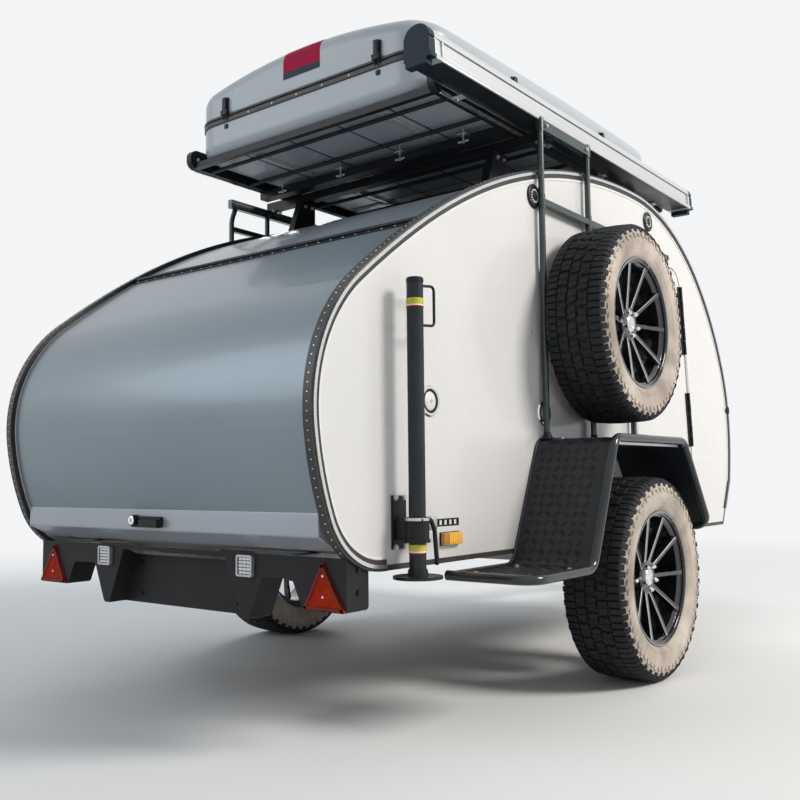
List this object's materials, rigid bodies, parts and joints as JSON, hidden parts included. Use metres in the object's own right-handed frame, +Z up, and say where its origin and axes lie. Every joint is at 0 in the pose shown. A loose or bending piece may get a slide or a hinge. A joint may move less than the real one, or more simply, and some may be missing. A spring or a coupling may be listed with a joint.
{
  "type": "teardrop trailer",
  "caption": "Teardrop camping trailer with rear hatch, side doors, side-mounted spare wheel, roof rack with hard-shell tent, awning case, corner steady legs and a jockey wheel.",
  "frame": {"origin": "on the ground, on the middle plane of the body, halfway between the rearmost skin and the nose of the coupling", "axes": "+X to the trailer's right side, +Y towards the towing end, +Z up"},
  "size_m": [2.082, 4.2658, 2.3975],
  "materials": {
    "body_white": "gloss",
    "body_silver": "gloss metallic",
    "lining": "satin",
    "floor_board": "coated board",
    "cabinet": "birch ply",
    "trim_rubber": "satin",
    "trim_bead": "polished",
    "bumper_black": "textured",
    "lamp_red": "clear cover over small lamps",
    "reflector_red": "prismatic",
    "lamp_amber": "prismatic",
    "galvanised": "zinc coated",
    "steel_black": "powder coated",
    "steel_green_black": "satin powder coated",
    "tread_plate": "powder coated chequer plate",
    "tyre": "dusty",
    "rim_black": "gloss black with bright edges",
    "tent_shell": "gelcoat",
    "tent_fabric": "woven",
    "awning_silver": "anodised",
    "window_glass": "tinted",
    "hardware_black": "satin",
    "wheel_rubber": "matte",
    "cap_slate": "satin",
    "drum_iron": "dull black"
  },
  "bodies": {
    "trailer": {"wall_right": "body_white", "wall_left": "body_white", "roof_skin": "body_silver", "floor": "floor_board", "bulkhead": "lining", "galley_counter": "cabinet", "edge_trims": "trim_rubber", "edge_beads": "trim_bead", "hatch_hinge": "steel_black", "door_hinges": "steel_black", "bumper": "bumper_black", "tail_lamps": "lamp_red", "reflectors": "reflector_red", "side_lamps": "lamp_amber", "chassis_rails": "galvanised", "cross_members": "galvanised", "drawbar": "galvanised", "coupling_head": "steel_black", "jockey_case": "galvanised", "axle_tube": "galvanised", "trailing_arms": "galvanised", "fenders": "tread_plate", "fender_tubes": "steel_black", "side_carriers": "steel_green_black", "spare_bracket": "steel_green_black", "spare_tyre": "tyre", "spare_rim": "rim_black", "rack_supports": "steel_black", "rack_frame": "steel_black", "rack_bars": "steel_black", "tent_tray": "tent_shell", "tent_bedding": "tent_fabric", "awning_case": "awning_silver", "awning_caps": "cap_slate", "awning_brackets": "steel_black", "leg_clamps": "steel_black"},
    "hatch": {"hatch": "body_silver", "hatch_handle": "hardware_black"},
    "door_right": {"door_right": "body_white", "door_glass_right": "window_glass"},
    "door_left": {"door_left": "body_white", "door_glass_left": "window_glass"},
    "tent_lid": {"tent_lid": "tent_shell"},
    "steady_leg_right": {"steady_leg_right": "steel_black"},
    "steady_leg_left": {"steady_leg_left": "steel_black"},
    "wheel_right": {"tyre_right": "tyre", "rim_right": "rim_black", "brake_drum_right": "drum_iron"},
    "wheel_left": {"tyre_left": "tyre", "rim_left": "rim_black", "brake_drum_left": "drum_iron"},
    "jockey_tube": {"jockey_tube": "galvanised"},
    "jockey_fork": {"jockey_fork": "galvanised"},
    "jockey_wheel": {"jockey_wheel": "wheel_rubber"}
  },
  "joints": [
    {"name": "hatch_hinge", "type": "hinge", "parent": "trailer", "child": "hatch", "pos_m": [0, -1.62023, 1.53618], "axis": [-1, 0, 0], "range_deg": [0, 75]},
    {"name": "door_right_hinge", "type": "hinge", "parent": "trailer", "child": "door_right", "pos_m": [0.737, 0.53048, 0.58832], "axis": [0, -0.1068, 0.9943], "range_deg": [0, 95]},
    {"name": "door_left_hinge", "type": "hinge", "parent": "trailer", "child": "door_left", "pos_m": [-0.737, 0.53048, 0.58832], "axis": [0, 0.1068, -0.9943], "range_deg": [0, 95]},
    {"name": "tent_lid_hinge", "type": "hinge", "parent": "trailer", "child": "tent_lid", "pos_m": [0, 0.4435, 2.188], "axis": [-1, 0, 0], "range_deg": [0, 28]},
    {"name": "steady_leg_right_slide", "type": "slide", "parent": "trailer", "child": "steady_leg_right", "axis": [0, 0, -1], "range_m": [0, 0.455]},
    {"name": "steady_leg_left_slide", "type": "slide", "parent": "trailer", "child": "steady_leg_left", "axis": [0, 0, -1], "range_m": [0, 0.455]},
    {"name": "wheel_right_spin", "type": "hinge", "parent": "trailer", "child": "wheel_right", "pos_m": [0.902, -0.5685, 0.3695], "axis": [1, 0, 0], "continuous": true},
    {"name": "wheel_left_spin", "type": "hinge", "parent": "trailer", "child": "wheel_left", "pos_m": [-0.902, -0.5685, 0.3695], "axis": [1, 0, 0], "continuous": true},
    {"name": "jockey_lift", "type": "slide", "parent": "trailer", "child": "jockey_tube", "axis": [0, 0, 1], "range_m": [0, 0.13]},
    {"name": "jockey_swivel", "type": "hinge", "parent": "jockey_tube", "child": "jockey_fork", "pos_m": [-0.15, 1.7615, 0.24], "axis": [0, 0, 1], "continuous": true},
    {"name": "jockey_spin", "type": "hinge", "parent": "jockey_fork", "child": "jockey_wheel", "pos_m": [-0.15, 1.7165, 0.1], "axis": [1, 0, 0], "continuous": true}
  ]
}
